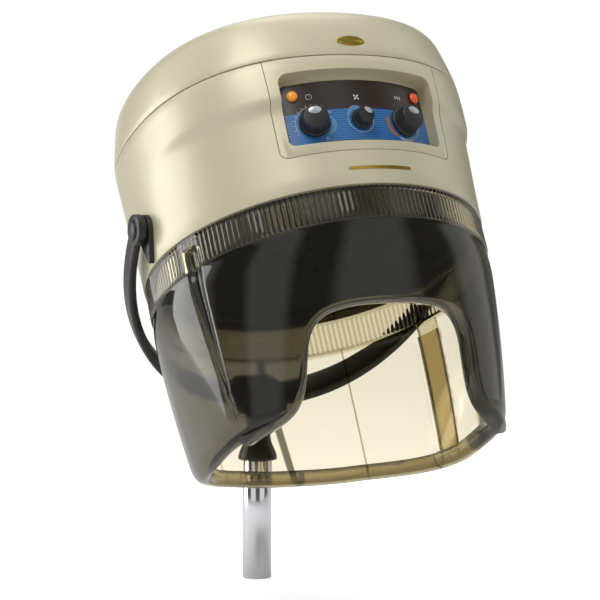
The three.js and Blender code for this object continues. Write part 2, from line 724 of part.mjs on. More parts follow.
// Heater: a mica former ring carrying a wound coil, hung under the deck.
place(hood, "heater_former", ring(118, 115, 30, DECK_Z - GAP, 32), mica);
const coil = (() => {
  const turns = 14;
  const curve = new THREE.CatmullRomCurve3(
    Array.from({ length: turns * 2 }, (_, i) => {
      const a = (2 * Math.PI * i * 0.97) / (turns * 2);
      return new THREE.Vector3(106 * Math.cos(a), 106 * Math.sin(a), i % 2 ? 36 : 54);
    }),
  );
  const s = new THREE.Shape();
  s.moveTo(-1, -1);
  s.lineTo(1, -1);
  s.lineTo(1, 1);
  s.lineTo(-1, 1);
  s.closePath();
  return new THREE.ExtrudeGeometry(s, { steps: turns * 4, extrudePath: curve });
})();
place(hood, "heater_coil", coil, copper);
place(hood, "thermal_cutout", block(22, 14, 9).translate(0, 134, DECK_Z - 5.2), blackPlastic);

// Motor above the deck on a three-legged bracket, impeller below it.
const MOTOR_LOW = 84;
const motorBracket = (() => {
  let body = solid(ring(34, 9, MOTOR_LOW - 3, MOTOR_LOW, 32));
  for (let i = 0; i < 3; i++) {
    const a = (2 * Math.PI * i) / 3;
    const leg = new THREE.BoxGeometry(44, 12, 3).translate(48, 0, MOTOR_LOW - 1.5);
    const foot = new THREE.BoxGeometry(4, 12, MOTOR_LOW - DECK_Z - 3 - GAP)
      .translate(68, 0, (MOTOR_LOW + DECK_Z + 3 + GAP) / 2);
    body = body.add(solid(leg.rotateZ(a))).add(solid(foot.rotateZ(a)));
  }
  return body;
})();
place(hood, "motor_bracket", motorBracket, steel);
place(
  hood,
  "motor_body",
  turned(
    [
      [5, MOTOR_LOW + GAP], [36, MOTOR_LOW + GAP], [40, MOTOR_LOW + 6], [40, MOTOR_LOW + 44],
      [34, MOTOR_LOW + 54], [5, MOTOR_LOW + 56], [5, MOTOR_LOW + GAP],
    ],
    24,
  ),
  grey,
);
place(hood, "motor_shaft", rod(4, 26, MOTOR_LOW + 60, 16), steel);

const impeller = (() => {
  let body = solid(ring(76, 4.4, 30, 32, 28)).add(solid(ring(14, 4.4, 30, 46, 14)));
  for (let i = 0; i < 10; i++) {
    const blade = block(26, 1.6, 26).translate(60, 0, 44.5);
    blade.translate(-60, 0, 0).rotateZ(0.7).translate(60, 0, 0);
    body = body.add(solid(blade.rotateZ((2 * Math.PI * i) / 10)));
  }
  return body.add(solid(ring(76, 48, 56, 57.6, 28)));
})();
place(hood, "impeller", impeller, blackPlastic);

place(hood, "terminal_block", block(46, 16, 14).translate(0, 116, DECK_Z + 3 + GAP + 7), white);

// Lead gland low on the back of the casing.
const gland = turned(
  [[3.5, -16], [5.8, -16], [5.8, -0.5], [9, -0.5], [9, 4], [6.5, 12], [3.5, 12], [3.5, -16]],
  20,
)
  .rotateX(-Math.PI / 2)
  .translate(0, 189, 8);
place(hood, "cable_gland", gland, blackPlastic);

export default dryer;
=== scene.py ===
import bpy
import bmesh
import math
from mathutils import Matrix, Vector


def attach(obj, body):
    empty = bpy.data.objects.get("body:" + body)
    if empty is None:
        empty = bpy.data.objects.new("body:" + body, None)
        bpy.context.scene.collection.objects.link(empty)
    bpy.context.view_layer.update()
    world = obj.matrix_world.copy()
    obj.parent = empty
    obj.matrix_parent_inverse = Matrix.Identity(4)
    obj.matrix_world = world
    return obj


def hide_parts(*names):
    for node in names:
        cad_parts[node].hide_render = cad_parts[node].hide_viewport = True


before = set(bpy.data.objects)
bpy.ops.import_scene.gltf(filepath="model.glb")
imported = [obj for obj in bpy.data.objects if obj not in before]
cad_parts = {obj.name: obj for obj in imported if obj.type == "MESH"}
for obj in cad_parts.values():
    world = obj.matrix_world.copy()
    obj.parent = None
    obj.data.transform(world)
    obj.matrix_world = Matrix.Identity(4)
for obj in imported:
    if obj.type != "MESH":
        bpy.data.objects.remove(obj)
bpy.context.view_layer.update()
scene = bpy.context.scene

# The camera stands a little above the dryer's middle and to its left, far off with a long lens.
CAMERA_AT = (-0.0202, -0.1557, 0.3238)
CAMERA_AZIMUTH = math.radians(-25.67)
CAMERA_ELEVATION = math.radians(2.6)
CAMERA_FAR = 2.769
lens = bpy.data.cameras.new("camera")
lens.lens = 153.8
lens.sensor_width = 36
lens.clip_end = 50
camera = bpy.data.objects.new("camera", lens)
back = Vector((
    math.sin(CAMERA_AZIMUTH) * math.cos(CAMERA_ELEVATION),
    -math.cos(CAMERA_AZIMUTH) * math.cos(CAMERA_ELEVATION),
    math.sin(CAMERA_ELEVATION),
))
camera.location = Vector(CAMERA_AT) + back * CAMERA_FAR
camera.rotation_euler = back.to_track_quat("Z", "Y").to_euler()
scene.collection.objects.link(camera)
scene.camera = camera
scene.view_settings.view_transform = "Standard"

# Studio: a pale seamless floor, soft light from above and the left, and a sky with dark upright stripes that
# only reflections show. What the camera sees of sky and floor is plain white.
world = bpy.data.worlds.new("studio")
scene.world = world
world.use_nodes = True


def backdrop(tree, socket, plain, shown):
    """Makes a backdrop's strength differ between what the camera sees and the light it gives."""
    path = tree.nodes.new("ShaderNodeLightPath")
    seen = tree.nodes.new("ShaderNodeMath")
    seen.operation = "MAXIMUM"
    level = tree.nodes.new("ShaderNodeMapRange")
    level.inputs["To Min"].default_value = plain
    level.inputs["To Max"].default_value = shown
    tree.links.new(path.outputs["Is Camera Ray"], seen.inputs[0])
    tree.links.new(path.outputs["Is Transmission Ray"], seen.inputs[1])
    tree.links.new(seen.outputs[0], level.inputs["Value"])
    tree.links.new(level.outputs["Result"], socket)


sky = world.node_tree
glow = sky.nodes["Background"].inputs
glow["Color"].default_value = (1, 1, 1, 1)
backdrop(sky, glow["Strength"], 0.5, 1.04)
where = sky.nodes.new("ShaderNodeTexCoord")
split = sky.nodes.new("ShaderNodeSeparateXYZ")
azimuth, stripes, wave = (sky.nodes.new("ShaderNodeMath") for _ in range(3))
azimuth.operation = "ARCTAN2"
stripes.operation = "MULTIPLY"
stripes.inputs[1].default_value = 5
wave.operation = "SINE"
plain = sky.nodes.new("ShaderNodeMapRange")
for socket, value in (("From Min", -0.5), ("From Max", 0.3), ("To Min", 0.1), ("To Max", 0.78)):
    plain.inputs[socket].default_value = value
sky.links.new(where.outputs["Generated"], split.inputs["Vector"])
sky.links.new(split.outputs["X"], azimuth.inputs[0])
sky.links.new(split.outputs["Y"], azimuth.inputs[1])
sky.links.new(azimuth.outputs[0], stripes.inputs[0])
sky.links.new(stripes.outputs[0], wave.inputs[0])
sky.links.new(wave.outputs[0], plain.inputs["Value"])
sky.links.new(plain.outputs["Result"], sky.nodes["Map Range"].inputs["To Min"])


def soft_light(name, at, aim, size, power):
    data = bpy.data.lights.new(name, "AREA")
    data.shape = "RECTANGLE"
    data.size, data.size_y = size
    data.energy = power
    light = bpy.data.objects.new(name, data)
    light.location = at
    light.rotation_euler = (Vector(at) - Vector(aim)).to_track_quat("Z", "Y").to_euler()
    scene.collection.objects.link(light)


soft_light("key", (-1.1, -0.9, 2.5), (0, -0.1, 0.4), (1.3, 1.3), 22)
soft_light("side", (-1.95, 1.3, 0.55), (0, -0.1, 0.3), (1.4, 1.5), 21)
soft_light("top", (0.3, 0.4, 2.3), (0, -0.1, 0.4), (1.4, 1.2), 9)

floor_mesh = bpy.data.meshes.new("floor")
floor_bm = bmesh.new()
bmesh.ops.create_grid(floor_bm, x_segments=1, y_segments=1, size=14)
bmesh.ops.translate(floor_bm, verts=floor_bm.verts, vec=(0, 0, -0.0005))
floor_bm.to_mesh(floor_mesh)
floor_bm.free()
floor = bpy.data.objects.new("floor", floor_mesh)
scene.collection.objects.link(floor)
floor_mat = bpy.data.materials.new("pale_floor")
floor_mat.use_nodes = True
matt = floor_mat.node_tree.nodes["Principled BSDF"].inputs
matt["Base Color"].default_value = (0.93, 0.93, 0.93, 1)
matt["Roughness"].default_value = 0.8
matt["Emission Color"].default_value = (1, 1, 1, 1)
backdrop(floor_mat.node_tree, matt["Emission Strength"], 0.05, 0.64)
floor_mesh.materials.append(floor_mat)

# ------------------------------------------------------------------ column
# Chrome tube of the stand, cut to a stub, with a black plastic plug in its lower end. The steel spigot that
# the fork turns on is pressed into its top. The tube is drawn, polished and plated.

MM = Matrix.Scale(0.001, 4)


def surface_noise():
    """Fine moulded texture: a height for Bump and a small change of roughness."""
    group = bpy.data.node_groups.new("surface_noise", "ShaderNodeTree")
    for name, value in (("Scale", 900.0), ("Roughness", 0.4), ("Spread", 0.1)):
        group.interface.new_socket(name, in_out="INPUT", socket_type="NodeSocketFloat").default_value = value
    for name in ("Height", "Roughness"):
        group.interface.new_socket(name, in_out="OUTPUT", socket_type="NodeSocketFloat")
    nodes, links = group.nodes, group.links
    inlet = nodes.new("NodeGroupInput")
    outlet = nodes.new("NodeGroupOutput")
    where = nodes.new("ShaderNodeTexCoord")
    fine = nodes.new("ShaderNodeTexNoise")
    broad = nodes.new("ShaderNodeTexNoise")
    broad.inputs["Scale"].default_value = 18
    broad.inputs["Detail"].default_value = 5
    change = nodes.new("ShaderNodeMath")
    change.operation = "MULTIPLY_ADD"
    links.new(where.outputs["Object"], fine.inputs["Vector"])
    links.new(where.outputs["Object"], broad.inputs["Vector"])
    links.new(inlet.outputs["Scale"], fine.inputs["Scale"])
    links.new(broad.outputs["Fac"], change.inputs[0])
    links.new(inlet.outputs["Spread"], change.inputs[1])
    links.new(inlet.outputs["Roughness"], change.inputs[2])
    links.new(fine.outputs["Fac"], outlet.inputs["Height"])
    links.new(change.outputs[0], outlet.inputs["Roughness"])
    return group


SURFACE = surface_noise()


def textured(mat, grain, rough, spread, bump):
    """Drives a material's roughness and normal from the shared surface noise."""
    nodes, links = mat.node_tree.nodes, mat.node_tree.links
    shader = nodes["Principled BSDF"]
    noise = nodes.new("ShaderNodeGroup")
    noise.node_tree = SURFACE
    noise.inputs["Scale"].default_value = grain
    noise.inputs["Roughness"].default_value = rough
    noise.inputs["Spread"].default_value = spread
    lift = nodes.new("ShaderNodeBump")
    lift.inputs["Strength"].default_value = bump
    lift.inputs["Distance"].default_value = 0.0005
    links.new(noise.outputs["Height"], lift.inputs["Height"])
    links.new(lift.outputs["Normal"], shader.inputs["Normal"])
    links.new(noise.outputs["Roughness"], shader.inputs["Roughness"])
    return mat


def finish(name, color, rough, metal=0.0, grain=900.0, bump=0.02, spread=0.08, coat=0.0):
    """A material with the shared surface noise. The shader's own sockets hold what is the same all over."""
    mat = bpy.data.materials.new(name)
    mat.use_nodes = True
    shader = mat.node_tree.nodes["Principled BSDF"]
    shader.inputs["Base Color"].default_value = (*color, 1)
    shader.inputs["Metallic"].default_value = metal
    shader.inputs["Coat Weight"].default_value = coat
    shader.inputs["Coat Roughness"].default_value = 0.05
    return textured(mat, grain, rough, spread, bump)


def spun(profile, steps=96):
    """Turns a closed outline of (radius, height) about Z into a closed body."""
    bm = bmesh.new()
    verts = [bm.verts.new((r, 0, z)) for r, z in profile]
    edges = [bm.edges.new((verts[i], verts[(i + 1) % len(verts)])) for i in range(len(verts))]
    bmesh.ops.spin(bm, geom=verts + edges, cent=(0, 0, 0), axis=(0, 0, 1), angle=math.tau, steps=steps,
                   use_merge=True)
    bmesh.ops.remove_doubles(bm, verts=bm.verts, dist=0.001)
    bmesh.ops.dissolve_degenerate(bm, edges=bm.edges, dist=0.0005)
    bmesh.ops.delete(bm, geom=[e for e in bm.edges if not e.link_faces], context="EDGES")
    return bm


def settle(name, bm, place, material, body, slot, *nodes, crease=38):
    """Puts a finished shape in its place as a named piece on its body."""
    bmesh.ops.transform(bm, matrix=place @ MM, verts=bm.verts)
    bmesh.ops.recalc_face_normals(bm, faces=bm.faces)
    mesh = bpy.data.meshes.new(name)
    bm.to_mesh(mesh)
    bm.free()
    mesh.polygons.foreach_set("use_smooth", [True] * len(mesh.polygons))
    mesh.set_sharp_from_angle(angle=math.radians(crease))
    mesh.materials.append(material)
    piece = bpy.data.objects.new(name, mesh)
    scene.collection.objects.link(piece)
    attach(piece, body)
    if nodes:
        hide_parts(*nodes)
    return piece


def dress(material, *nodes):
    """Gives carried-over solids their material."""
    for node in nodes:
        mesh = bpy.data.objects[node].data
        if not len(mesh.materials):
            mesh.materials.append(material)
        for i in range(len(mesh.materials)):
            mesh.materials[i] = material


HERE = Matrix.Identity(4)
chrome = finish("bright_chrome", (0.78, 0.78, 0.8), 0.06, metal=1.0, grain=300, bump=0.004, spread=0.04)
black_plastic = finish("satin_black", (0.014, 0.014, 0.015), 0.36, grain=1400, bump=0.05)
steel = finish("zinc_plate", (0.5, 0.5, 0.52), 0.32, metal=1.0, grain=700, bump=0.03)
tube = spun([(14.4, 0), (15.9, 0), (16.25, 0.15), (16.4, 0.5), (16.4, 133.4), (16.2, 133.9), (15.9, 134),
             (14.4, 134)])
settle("column", tube, HERE, chrome, "base", "chrome", "column_tube")
dress(black_plastic, "column_end_plug")
dress(steel, "column_spigot")

# ------------------------------------------------------------------ fork
# One moulding in black plastic: a bail round the back of the hood, a block at its middle that turns on the
# column, and a flared skirt that covers the column's top. Its arms end in round eyes at the hood's pivots.

PIVOT = Vector((0, -130, 400))
HUB_Z = 208
BAIL_HALF = 199
BAIL_DROP = math.hypot(130, 192)
BAIL_CURVE = 2 / 2.15
down = Vector((0, 130, -192)).normalized()
across = Vector((0, 192, 130)).normalized()


def carve(bm, cutters, operation="DIFFERENCE"):
    """Cuts or joins whole shapes, and hands back the result."""
    temps = []

    def temporary(shape):
        mesh = bpy.data.meshes.new("temporary")
        bmesh.ops.recalc_face_normals(shape, faces=shape.faces)
        shape.to_mesh(mesh)
        shape.free()
        obj = bpy.data.objects.new("temporary", mesh)
        scene.collection.objects.link(obj)
        temps.append(obj)
        return obj

    base = temporary(bm)
    for cutter in cutters:
        tool = temporary(cutter)
        tool.hide_render = True
        step = base.modifiers.new("cut", "BOOLEAN")
        step.operation = operation
        step.solver = "MANIFOLD"
        step.object = tool
    shape = base.evaluated_get(bpy.context.evaluated_depsgraph_get())
    result = bmesh.new()
    result.from_mesh(shape.to_mesh())
    shape.to_mesh_clear()
    for obj in temps:
        mesh = obj.data
        bpy.data.objects.remove(obj)
        bpy.data.meshes.remove(mesh)
    return result


def bail_point(t):
    """The bail's middle line, from the left eye (0) round the back to the right one (pi)."""
    c, s = math.cos(t), max(0.0, math.sin(t))
    x = -math.copysign(BAIL_HALF * abs(c) ** BAIL_CURVE, c)
    return Vector((x, 0, 0)) + down * (BAIL_DROP * s ** BAIL_CURVE)


def bail_strap(steps=120, around=28):
    """A rounded bar swept along the half oval, wider and thicker towards its middle."""
    bm = bmesh.new()
    ring = bmesh.ops.create_circle(bm, segments=around, radius=1, cap_ends=True)["verts"]
    loops = [sorted(ring, key=lambda v: math.atan2(v.co.y, v.co.x))]
    angles = [math.atan2(v.co.y, v.co.x) for v in loops[0]]
    current = loops[0]
    for _ in range(steps):
        between = [e for e in bm.edges if e.verts[0] in set(current) and e.verts[1] in set(current)]
        made = bmesh.ops.extrude_edge_only(bm, edges=between)
        fresh = [v for v in made["geom"] if isinstance(v, bmesh.types.BMVert)]
        current = []
        for v in loops[-1]:
            current.append(next(e.other_vert(v) for e in v.link_edges if e.other_vert(v) in fresh))
        loops.append(current)
    bm.faces.new(loops[-1])
    for i, loop in enumerate(loops):
        t = math.pi * i / steps
        here = bail_point(t)
        along = (bail_point(min(t + 0.01, math.pi)) - bail_point(max(t - 0.01, 0))).normalized()
        outward = along.cross(across)
        middle = max(0.0, math.sin(t)) ** 1.5
        wide, thick = 11 + 5.5 * middle, 4.4 + 2.6 * middle
        for v, a in zip(loop, angles):
            w = math.copysign(abs(math.cos(a)) ** 0.5, math.cos(a)) * wide
            h = math.copysign(abs(math.sin(a)) ** 0.5, math.sin(a)) * thick
            v.co = here + across * w + outward * h + PIVOT
    return bm


def turned_x(profile, at_x, side, steps=56):
    """A turned body along X at the pivot, pointing outwards on the given side."""
    bm = spun(profile, steps)
    turn = Matrix.Rotation(side * math.pi / 2, 4, "Y")
    bmesh.ops.transform(bm, matrix=Matrix.Translation(PIVOT + Vector((at_x, 0, 0))) @ turn, verts=bm.verts)
    return bm


eye = [(0, -5), (15.6, -5), (16.6, -4.4), (17, -3.4), (17, 3), (16.4, 4.4), (15, 5), (0, 5)]
eyes = [turned_x(eye, side * BAIL_HALF, side) for side in (-1, 1)]
hub = bmesh.new()
bmesh.ops.create_cube(hub, size=1)
bmesh.ops.scale(hub, vec=(57, 40, 43), verts=hub.verts)
upright = [e for e in hub.edges if abs(e.verts[0].co.x - e.verts[1].co.x) < 1e-4
           and abs(e.verts[0].co.z - e.verts[1].co.z) < 1e-4]
bmesh.ops.bevel(hub, geom=upright, offset=10, segments=8, profile=0.5, affect="EDGES", material=-1)
rims = [e for e in hub.edges if all(abs(abs(v.co.y) - 20) < 1e-3 for v in e.verts)
        and e.verts[0].co.y * e.verts[1].co.y > 0]
bmesh.ops.bevel(hub, geom=rims, offset=2.5, segments=3, profile=0.5, affect="EDGES", material=-1)
bmesh.ops.translate(hub, verts=hub.verts, vec=(0, 1, HUB_Z))
skirt = spun([(0, 200), (0, 146.5), (17.6, 146.5), (17.6, 134.5), (21.6, 134.5), (22.4, 135), (22.5, 136),
              (22, 140), (20, 145.5), (17.6, 150.5), (15.8, 155.5), (15.1, 160), (15.4, 170), (16.6, 182),
              (18, 190), (18, 200)], 72)
swing = spun([(0, -60), (222, -60), (222, 60), (0, 60)], 240)
bmesh.ops.transform(swing, matrix=Matrix.Translation(PIVOT) @ Matrix.Rotation(math.pi / 2, 4, "Y"),
                    verts=swing.verts)
hub = carve(hub, [swing])
bore = spun([(0, 100), (11.4, 100), (11.4, 193), (0, 193)], 48)
fork = carve(bail_strap(), eyes + [hub, skirt], "UNION")
seats = [turned_x([(0, -4.5), (10.8, -4.5), (10.8, 3), (0, 3)], side * 203.5, side) for side in (-1, 1)]
fork = carve(fork, [bore] + seats)
fork_black = finish("fork_black", (0.012, 0.012, 0.013), 0.3, grain=1100, bump=0.06, spread=0.12)
settle("fork", fork, HERE, fork_black, "fork", "fork_black", "fork_bail", crease=32)
for side, word in ((-1, "left"), (1, "right")):
    cap = turned_x([(0, -2), (10.4, -2), (10.4, 0.9), (10, 1.5), (8.6, 2.3), (6, 2.9), (3, 3.15), (0, 3.2)],
                   side * 204, side)
    settle("pivot_cover_" + word, cap, HERE, fork_black, "fork", "fork_black", "pivot_cap_" + word)
white_nylon = finish("natural_nylon", (0.7, 0.68, 0.62), 0.5)
dress(white_nylon, "swivel_bush")

# ------------------------------------------------------------------ main casing
# Moulded plastic band painted champagne pearl. Over the controls its wall stands proud as a brow, which dies
# away round the sides, and its corners are a little square at the seam with the top cover.

TILT = math.radians(27.4)
HOOD = Matrix.Translation(PIVOT / 1000) @ Matrix.Rotation(-TILT, 4, "X")
SEAM, LIP = 110, -40
BROW_ANGLE = math.radians(70)
SQUARENESS = 0.025


def smooth(t):
    """An S curve from 0 to 1."""
    t = min(max(t, 0.0), 1.0)
    return t * t * (3 - 2 * t)


def along(rows, z):
    """The radius at a height on a list of (radius, height), from top to bottom."""
    for (r0, z0), (r1, z1) in zip(rows, rows[1:]):
        if z1 <= z <= z0:
            return r0 + (r1 - r0) * (z0 - z) / (z0 - z1)
    return rows[-1][0] if z < rows[-1][1] else rows[0][0]


BROW = [(192.4, 110), (193.0, 98), (193.4, 84), (193.5, 70), (193.3, 66), (192.6, 63), (191.2, 59.5),
        (189.9, 56), (189.1, 52.5), (188.8, 48), (188.6, 30), (187.9, 0), (187.3, -24), (187, -40)]


def casing_radius(x, y, z, r):
    """Where a point of the turned casing goes: the brow dies away and the seam is a little square."""
    angle = abs(math.atan2(x, -y))
    zc = min(max(z, LIP), SEAM)
    brow = 1 - smooth((angle - BROW_ANGLE + 0.12) / 0.3)
    straight = 187 + 5.4 * (zc - LIP) / (SEAM - LIP)
    square = SQUARENESS * smooth((zc - LIP) / (SEAM - LIP))
    return (r + (1 - brow) * (straight - along(BROW, zc))) * (1 - square * math.cos(4 * angle))


def reshape(bm, rule):
    """Moves every point to the radius that the rule gives."""
    for v in bm.verts:
        r = math.hypot(v.co.x, v.co.y)
        if r > 1:
            k = rule(v.co.x, v.co.y, v.co.z, r) / r
            v.co.x *= k
            v.co.y *= k


def casing_wall(inward, low, high, edge, steps):
    """The casing's wall between two heights, with softened edges."""
    heights = [high - edge]
    heights += [z for _, z in BROW if low + edge + 1 < z < high - edge - 1]
    heights += [low + edge]
    outer = [(along(BROW, high) - edge, high), (along(BROW, high) - edge * 0.3, high - edge * 0.3)]
    outer += [(along(BROW, z), z) for z in heights]
    outer += [(along(BROW, low) - edge * 0.3, low + edge * 0.3), (along(BROW, low) - edge, low)]
    inner = [(along(BROW, low) - inward, low)]
    inner += [(along(BROW, z) - inward, z) for z in reversed(heights[1:-1])]
    inner += [(along(BROW, high) - inward, high)]
    bm = spun(outer + inner, steps)
    reshape(bm, casing_radius)
    return bm


def prism(outline, near, far):
    """An outline in X and Z pushed through from y = near to y = far."""
    bm = bmesh.new()
    face = bm.faces.new([bm.verts.new((x, far, z)) for x, z in outline])
    made = bmesh.ops.extrude_face_region(bm, geom=[face])
    for v in made["geom"]:
        if isinstance(v, bmesh.types.BMVert):
            v.co.y = near
    return bm


def rounded(x0, x1, z0, z1, low, high, slope=0.0, steps=8):
    """A rounded rectangle with its own lower and upper corner radii; slope widens it towards the top."""
    points = []
    for cx, cz, r, start in ((x1 - low, z0 + low, low, -90), (x1 + slope - high, z1 - high, high, 0),
                             (x0 - slope + high, z1 - high, high, 90), (x0 + low, z0 + low, low, 180)):
        for i in range(steps + 1):
            a = math.radians(start + 90 * i / steps)
            points.append((cx + r * math.cos(a), cz + r * math.sin(a)))
    return points


pearl = finish("champagne_pearl", (0.63, 0.585, 0.41), 0.36, metal=0.2, grain=2600, bump=0.03, spread=0.05,
               coat=0.15)
casing = casing_wall(3, LIP, SEAM, 0.9, 288)
opening = prism(rounded(-98.5, 98.5, -1.4, 160, 9, 1, slope=3), -260, -120)
casing = carve(casing, [opening])
settle("casing", casing, HOOD, pearl, "hood", "pearl", "main_casing")

# ------------------------------------------------------------------ top cover
# The cover closes the casing: a side wall, a round shoulder and a low dome with the air intake in its middle.
# It is moulded and painted like the casing, with a fine shadow gap between the two.

COVER = [(191.2, 111.2), (192.0, 111.4), (192.3, 112.2), (191.4, 120), (189.2, 133), (186.4, 146),
         (183.6, 158), (181.6, 163.5), (178.2, 168.6), (173.8, 172.4), (168.4, 175.2), (160, 178.4),
         (150, 181.4), (134, 185.3), (116, 189), (96, 192.2), (78, 194.6), (66, 195.7), (63, 195.9), (62, 195.4)]
inside = [(62, 192.8), (78, 191.5), (96, 189.2), (116, 186), (134, 182.3), (150, 178.2), (166, 172.4),
          (176.6, 165), (180.4, 158), (186.2, 133), (189.2, 111.2)]
cover = spun(COVER + inside, 216)
reshape(cover, lambda x, y, z, r:
        r * (1 - SQUARENESS * smooth((r - 90) / 90) * math.cos(4 * math.atan2(x, -y))))
settle("cover", cover, HOOD, pearl, "hood", "pearl", "top_cover", crease=50)


def grille():
    """Ring, hub, five hoops and twelve ribs, moulded in one."""
    parts = [spun([(56.6, 188.5), (61.6, 188.5), (61.6, 196), (61, 196.5), (57.4, 196.5), (56.6, 195.8)], 96)]
    parts.append(spun([(0, 193.5), (16, 193.5), (16, 196), (15.4, 196.5), (0, 196.5)], 48))
    for r in (23, 29.5, 36, 42.5, 49):
        parts.append(spun([(r, 193.5), (r + 2.6, 193.5), (r + 2.6, 196.2), (r + 2.2, 196.5), (r + 0.4, 196.5),
                           (r, 196.2)], 72))
    for i in range(12):
        bar = bmesh.new()
        bmesh.ops.create_cube(bar, size=1)
        bmesh.ops.scale(bar, vec=(2.6, 44, 2.4), verts=bar.verts)
        bmesh.ops.bevel(bar, geom=bar.edges, offset=0.4, segments=2, profile=0.5, affect="EDGES", material=-1)
        spot = Matrix.Rotation(math.tau * i / 12, 4, "Z") @ Matrix.Translation((0, 36.5, 194.9))
        bmesh.ops.transform(bar, matrix=spot, verts=bar.verts)
        parts.append(bar)
    return carve(parts[0], parts[1:], "UNION")


settle("intake", grille(), HOOD, black_plastic, "hood", "black_plastic", "intake_grille")

# Small oval badge over the controls: a plain gold plate with a raised rim.
gold = finish("gold_plate", (0.5, 0.34, 0.06), 0.25, metal=1.0, grain=500, bump=0.01)
BADGE_R = 185.1
badge = spun([(0, 0), (8.8, 0), (8.8, 1.3), (8.4, 1.6), (7.7, 1.6), (7.4, 1.2), (0, 1.2)], 64)
bmesh.ops.scale(badge, vec=(1.85, 0.68, 1), verts=badge.verts)
for v in badge.verts:
    bend = v.co.x / 186
    r = BADGE_R + v.co.z
    v.co = Vector((r * math.sin(bend), -r * math.cos(bend), 128 + v.co.y))
settle("badge", badge, HOOD, gold, "hood", "gold", "cover_badge")

# Slim plain bar in gold foil on the casing below the controls.
foil = spun([(186.6, -30), (187.55, -30), (187.75, -14), (186.6, -14)], 288)
foil = carve(foil, [prism(rounded(-36, 36, -23.8, -20.2, 1.7, 1.7), -260, -100)], "INTERSECT")
settle("gold_bar", foil, HOOD, gold, "hood", "gold")

# ------------------------------------------------------------------ control fascia
# A separate moulding in the casing's colour that frames the dials. It is scooped so that the panel lies
# deeper than the casing, with sloping walls all round.

PANEL_R = 176
fascia = casing_wall(22, -1, SEAM, 0.8, 288)
outline = rounded(-97.7, 97.7, -0.6, 160, 8.4, 1, slope=3)
fascia = carve(fascia, [prism(outline, -260, -120)], "INTERSECT")
scoop = prism(rounded(-84, 84, 13, 88, 7, 10, steps=10), -215, -140)
for v in scoop.verts:
    if v.co.y < -200:
        v.co.x *= 1.13
        v.co.z += 9 if v.co.z > 50 else -5
outside = spun([(PANEL_R, -60), (260, -60), (260, 160), (PANEL_R, 160)], 288)
scoop = carve(scoop, [outside], "INTERSECT")
window = prism(rounded(-76, 76, 18, 82, 4, 4), -260, -100)
fascia = carve(fascia, [scoop, window])
settle("fascia", fascia, HOOD, pearl, "hood", "pearl", "control_fascia", crease=30)

# ------------------------------------------------------------------ panel
# Printed plastic plate, bent to the casing's curve: black-brown in its upper part and blue below, with fine
# dark lines in the blue. The dial scales are printed in white, light blue and orange.

FILM_R = PANEL_R + 2.0


def panel_film():
    """The panel's print, measured along the hood's own height."""
    mat = bpy.data.materials.new("panel_film")
    mat.use_nodes = True
    nodes, links = mat.node_tree.nodes, mat.node_tree.links
    shader = nodes["Principled BSDF"]
    shader.inputs["Roughness"].default_value = 0.28
    where = nodes.new("ShaderNodeTexCoord")
    level = nodes.new("ShaderNodeMapping")
    level.vector_type = "TEXTURE"
    level.inputs["Location"].default_value = PIVOT / 1000
    level.inputs["Rotation"].default_value = (-TILT, 0, 0)
    split = nodes.new("ShaderNodeSeparateXYZ")
    links.new(where.outputs["Object"], level.inputs["Vector"])
    links.new(level.outputs["Vector"], split.inputs["Vector"])
    lines = nodes.new("ShaderNodeMath")
    lines.operation = "PINGPONG"
    lines.inputs[1].default_value = 0.0014
    links.new(split.outputs["Z"], lines.inputs[0])
    thin = nodes.new("ShaderNodeMapRange")
    thin.inputs["From Min"].default_value = 0.0009
    thin.inputs["From Max"].default_value = 0.0011
    links.new(lines.outputs[0], thin.inputs["Value"])
    blue = nodes.new("ShaderNodeMix")
    blue.data_type = "RGBA"
    blue.inputs[6].default_value = (0.035, 0.19, 0.5, 1)
    blue.inputs[7].default_value = (0.018, 0.075, 0.19, 1)
    links.new(thin.outputs["Result"], blue.inputs[0])
    height = nodes.new("ShaderNodeMapRange")
    height.inputs["From Min"].default_value = 0.0515
    height.inputs["From Max"].default_value = 0.0525
    links.new(split.outputs["Z"], height.inputs["Value"])
    both = nodes.new("ShaderNodeMix")
    both.data_type = "RGBA"
    both.inputs[7].default_value = (0.032, 0.022, 0.016, 1)
    links.new(blue.outputs[2], both.inputs[6])
    links.new(height.outputs["Result"], both.inputs[0])
    links.new(both.outputs[2], shader.inputs["Base Color"])
    return mat


plate = spun([(176.4, -60), (178, -60), (178, 160), (176.4, 160)], 288)
plate = carve(plate, [prism(rounded(-82, 82, 15.4, 85.6, 5, 5), -260, -100)], "INTERSECT")
DIALS = (("timer", -18, 16.5, 17, 0), ("speed", -1.5, 11.5, 14, 38), ("temp", 15.5, 16.5, 17, 8))
KNOB_Z, LAMP_Z, LAMP_ANGLE = 38, 72, 23.5


def on_panel(bm, degrees, z, r=PANEL_R):
    """Stands a shape made about Z on the panel, pointing outwards."""
    a = math.radians(degrees)
    spot = Matrix.Translation((r * math.sin(a), -r * math.cos(a), z)) @ Matrix.Rotation(a, 4, "Z")
    bmesh.ops.transform(bm, matrix=spot @ Matrix.Rotation(math.pi / 2, 4, "X"), verts=bm.verts)
    return bm


drilled = [(3.7, a, KNOB_Z) for _, a, _, _, _ in DIALS] + [(3.6, s * LAMP_ANGLE, LAMP_Z) for s in (-1, 1)]
plate = carve(plate, [on_panel(spun([(0, -20), (r, -20), (r, 20), (0, 20)], 32), a, z) for r, a, z in drilled])
settle("panel", plate, HOOD, panel_film(), "hood", "panel_print", "panel_plate")


def ink(name, color):
    return finish(name, color, 0.35, grain=1500, bump=0.01)


